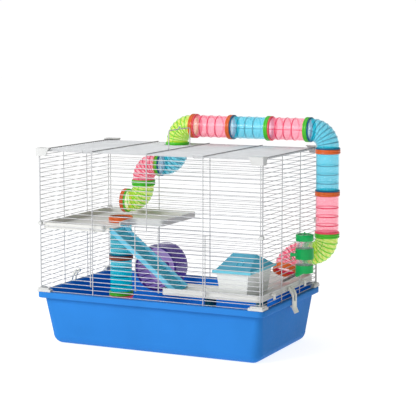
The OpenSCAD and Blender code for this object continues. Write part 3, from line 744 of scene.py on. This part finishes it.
def ring_profile(s0, s1):
    w = s1 - s0
    pts = [(27.72, 0.0), (28.3, 0.0), (29.2, 0.35), (29.75, 0.95), (29.95, 1.7), (29.95, w * 0.36), (29.7, w * 0.41), (29.25, w * 0.45),
           (29.15, w * 0.5), (29.25, w * 0.55), (29.7, w * 0.59), (29.95, w * 0.64), (29.95, w - 1.7), (29.75, w - 0.95), (29.2, w - 0.35), (28.3, w), (27.72, w)]
    return [(r, s0 + z) for r, z in pts]


def flange_profile(s0, s1):
    w = s1 - s0
    return [(27.72, s0), (28.6, s0), (29.5, s0 + 0.4), (29.8, s0 + 1.0), (29.8, s1 - 0.9), (29.3, s1 - 0.2), (28.4, s1), (27.72, s1)]


X, Y, Z = Vector((1, 0, 0)), Vector((0, 1, 0)), Vector((0, 0, 1))
XA, PITCH, ARM = -59.0, 100.0, 48.0
ZR = 469.25
ZU = ZR + ARM
XV = XA + ARM * 2 + 3 * PITCH
ZS = ZU - 2 * ARM - 2 * PITCH
ZD = ZR - ARM - 2
XT = XA - 2 * ARM
ZE = ZD - 2 * ARM
LX, LY, LZ, LP = -153.0, -15.0, 293.0, 92.0
TILT = math.radians(57)
DX = Vector((0, -math.cos(TILT), -math.sin(TILT)))
XE = XV - 2 * ARM

CY = ["cyan", "cyan_rib"]
PK = ["pink", "pink_rib"]
LM = ["lime", "lime_rib"]
DP = ["deep", "deep_rib"]
up_y = (0, 0, 1)
straight("top_tube_1", (XA + ARM + 0.5, TY, ZU), X, 99.0, PK, "top_tube_a", seams=(0.53, math.pi - 0.53, math.pi + 0.53, -0.53), holes=(0.9, -0.9, math.pi - 0.9, math.pi + 0.9))
straight("top_tube_2", (XA + ARM + PITCH + 0.5, TY, ZU), X, 99.0, CY, "top_tube_b", seams=(1.57, -1.57), holes=(0.25, -0.25, math.pi - 0.25, math.pi + 0.25))
straight("top_tube_3", (XA + ARM + 2 * PITCH + 0.5, TY, ZU), X, 99.0, PK, "top_tube_c", seams=(1.57, -1.57), holes=(0.3, -0.3, math.pi - 0.3, math.pi + 0.3))
straight("side_tube_1", (XV, TY, ZU - ARM - PITCH + 0.5), Z, 99.0, CY, "side_tube_a", seams=(3.5, 0.36), holes=(-0.95, -1.75, 1.2, 2.2))
straight("side_tube_2", (XV, TY, ZU - ARM - 2 * PITCH + 0.5), Z, 99.0, PK, "side_tube_b", seams=(3.5, 0.36), holes=(-0.95, -1.75, 1.2, 2.2))
# the tubes low on the left take the shaded cyan copy: painted shade
straight("left_tube_1", (LX, LY, LZ - LP + 0.5), Z, LP + 2.5, DP, "left_tube_upper", seams=(3.3, 0.2), holes=(-0.7, -1.6))
straight("left_tube_2", (LX, LY, LZ - 2 * LP + 0.5), Z, LP - 1.0, DP, "left_tube_lower", seams=(3.3, 0.2), holes=(-0.7, -1.6))
elbow("roof_elbow", (XA, TY, ZU), -Z, X, LM, "rise_elbow")
elbow("far_elbow", (XV, TY, ZU), -X, -Z, CY, "corner_elbow")
elbow("wall_elbow", (XV, TY, ZS), Z, -X, LM, "side_elbow")
elbow("outlet_elbow", (XE, TY, ZS), X, DX, PK, "exit_elbow")
elbow("hanging_elbow", (XA, TY, ZD), Z, -X, CY, "drop_elbow", a1=ZR - ZD - 0.5)
elbow("crossing_elbow", (XT, TY, ZD), X, -Z, PK, "turn_elbow")
elbow("deck_elbow", (XT, TY, ZE), Z, -X, LM, "entry_elbow")
elbow("base_elbow", (LX, LY, LZ - 2 * LP - ARM), Z, X, PK, "floor_elbow")


def rings_piece(name, joints, mats, nodes):
    """Coupling rings. Each joint is (place, direction, flange, material of its first half): with a flange the ring leaves room for the tube's own collar on its far side."""
    g = Geo()
    for o, d, fl, first in joints:
        prof = ring_profile(-7.0, 3.4 if fl else 7.0)
        T = place(o, d)
        n = 80
        rings = [[(r * math.cos(2 * math.pi * a / n), r * math.sin(2 * math.pi * a / n), z) for a in range(n)] for r, z in prof]
        mats_of = []
        for i in range(len(prof)):
            mid = (prof[i][1] + prof[(i + 1) % len(prof)][1]) / 2
            mats_of += [first if mid < (prof[0][1] + prof[-1][1]) / 2 else 0] * n
        g.loft(rings, mats_of, close=True, T=T)
    return make(name, g, mats, "cage", nodes, angle=30)


orange = [((XA + ARM, TY, ZU), X, "pink_end", 0), ((XA + ARM + PITCH, TY, ZU), X, "cyan_end", 0),
          ((XV, TY, ZU - ARM), Z, "cyan_end", 0), ((XV, TY, ZU - ARM - PITCH), Z, "cyan_end", 0)]
# the coupling on the left tube takes the shaded orange copy: painted shade
shaded_orange = [((LX, LY, LZ - LP), Z, "cyan_end", 0)]
green = [((XA, TY, ZR), -Z, None, 0), ((XA - ARM, TY, ZD), X, "cyan_end", 1), ((XT, TY, ZD - ARM), -Z, "lime_end", 0),
         ((XA + ARM + 2 * PITCH, TY, ZU), X, "pink_end", 0), ((XA + ARM + 3 * PITCH, TY, ZU), X, "cyan_end", 0),
         ((XV, TY, ZU - ARM - 2 * PITCH), Z, "pink_end", 0), ((XV - ARM, TY, ZS), X, "lime_end", 0), ((LX, LY, LZ - 2 * LP), -Z, "pink_end", 0)]
rings_piece("orange_rings", orange, ["orange"], ["orange_couplings"])
rings_piece("rust_ring", shaded_orange, ["shaded_orange"], [])
rings_piece("green_rings", green, ["green", "olive"], ["green_couplings"])
for name, o, d, node, fl in (("deck_collar", (LX, LY, LZ + 0.4), Z, "deck_ring", None), ("entry_collar", (XT - ARM, TY, ZE), X, "entry_ring", "lime_end"),
                         ("floor_collar", (LX + ARM, LY, LZ - 2 * LP - ARM), X, "floor_ring", None), ("outlet_collar", tuple(Vector((XE, TY, ZS)) + DX * ARM), DX, "exit_ring", None)):
    rings_piece(name, [(o, d, fl, 0)], ["orange"], [node])
flanges = {}
for o, d, fl, first in orange + shaded_orange + green + [((XT - ARM, TY, ZE), X, "lime_end", 0)]:
    if fl:
        flanges.setdefault(fl, []).append((o, d))
for fl, places in flanges.items():
    g = Geo()
    for o, d in places:
        g.lathe(flange_profile(3.7, 7.0), 80, 0, place(o, d))
    make(fl.replace("_end", "_collars"), g, [fl], "cage", (), angle=30)

# ------------------------------------------------------------------ wheel
HUB = Vector((-112, 90, 158.25))


def wheel_pick(c, n):
    r = math.hypot(c.x - HUB.x, c.z - HUB.z)
    y = c.y - HUB.y
    if y > 61.5 and r < 54.5:
        return 2
    if r < 9:
        return 1
    if 53.2 < r < 55.6 and 2 < y < 62:
        return 1
    if y < 2.6 and r < 58.1 and n.y < -0.5:
        return 2
    # faces of the drum that turn towards the axle take the lighter lilac: painted light on the inside of the drum
    if r < 56.6 and n.x * (c.x - HUB.x) + n.z * (c.z - HUB.z) < 0:
        return 3
    return 0


refined("running_wheel", ["exercise_wheel"], ["wheel", "wheel_rib", "wheel_disc", "lit_drum_inside"], "wheel", 0.4, 2, pick=wheel_pick)
g = Geo()
TW = Matrix.Translation(HUB) @ Matrix.Rotation(-math.pi / 2, 4, "X")
for r in (17.0, 47.0):
    g.lathe([(r - 0.9, 61.9), (r - 0.9, 61.0), (r - 0.5, 60.5), (r + 0.5, 60.5), (r + 0.9, 61.0), (r + 0.9, 61.9)], 96, 0, TW)
for k in range(12):
    a = math.radians(30 * k + 15)
    R = Matrix.Rotation(a, 4, "Z")
    rbox(g, (17.5, -0.7, 60.7), (46.8, 0.7, 61.9), 0.5, 0, TW @ R)
make("wheel_spokes", g, ["wheel_disc"], "wheel", (), angle=40)
paint("wheel_axle", "steel")
refined("wheel_nut", ["wheel_clamp"], ["wheel_rib"], "cage", 0.8, 3)

# ------------------------------------------------------------------ house
refined("house_walls", ["house_body"], ["house"], "cage", 0.9, 3)
refined("roof_shell", ["house_roof"], ["roof", "eave"], "roof", 0.9, 3, pick=lambda c, n: 1 if c.z < 212.3 else 0)

g = Geo()
arch = [(-7, -15), (-7, 2)] + [(-7 * math.cos(math.pi * k / 10), 2 + 7 * math.sin(math.pi * k / 10)) for k in range(1, 10)] + [(7, 2), (7, -15)]
SL = math.atan2(29.5, 69.0)
TR = Matrix.Translation((214, -118, 212 + 35 * 29.5 / 69 + 0.1)) @ Matrix.Rotation(SL, 4, "X")
g.sweep([(x, y, 0.2) for x, y in arch], 0.9, 10, 0, TR)
for k in range(3):
    g.sweep([(-4.6, -11 + 5 * k, 0.0), (4.6, -11 + 5 * k, 0.0)], 0.6, 8, 0, TR)
make("roof_vent", g, ["eave"], "roof", ())

# ------------------------------------------------------------------ bottle
BX, BY = 311.6, 28.0
TB = Matrix.Translation((BX, BY, 0))
g = Geo()
g.lathe([(18.3, 193.7), (19.2, 192.6), (19.5, 193.4), (19.55, 206), (19.55, 221), (19.0, 222.2), (19.0, 245), (19.55, 246.4), (19.55, 262), (19.3, 274.6), (18.3, 274.9), (18.2, 273), (18.2, 246), (17.8, 245), (17.8, 222.5), (18.2, 221), (18.2, 200)], 72, 0, TB)
g.spun([(18.25, 192.2), (18.25, 193.5)], 72, 0, TB)
make("bottle_flask", g, ["clear"], "cage", ["bottle_body"])
g = Geo()
g.lathe([(20.0, 264.2), (20.6, 264.0), (21.0, 264.8), (21.0, 277.2), (20.4, 278.6), (19.2, 279.0), (17.6, 279.0), (16.6, 278.2), (16.6, 276.8), (19.7, 276.2), (20.0, 275.6)], 72, 0, TB)
for k in range(36):
    a = 2 * math.pi * k / 36
    g.sweep([(20.75 * math.cos(a), 20.75 * math.sin(a), 265.6), (20.75 * math.cos(a), 20.75 * math.sin(a), 276.4)], 0.25, 6, 0, TB)
g.sweep([(0, 0, 277.4), (0, 0, 284.4)], 1.9, 20, 0, TB)
make("bottle_lid", g, ["bottle"], "cage", ["bottle_cap"], angle=40)
g = Geo()
g.spun([(16.5, 276.9), (16.5, 277.6), (8, 278.0), (1.95, 278.1)], 64, 0, TB)
make("bottle_lid_disc", g, ["clear"], "cage", ())
refined("bottle_cup", ["bottle_base"], ["bottle"], "cage", 0.9, 3)
refined("bottle_clip", ["bottle_holder"], ["holder"], "cage", 0.6, 3)
paint("sipper_tube", "steel")
paint("sipper_ball", "steel")
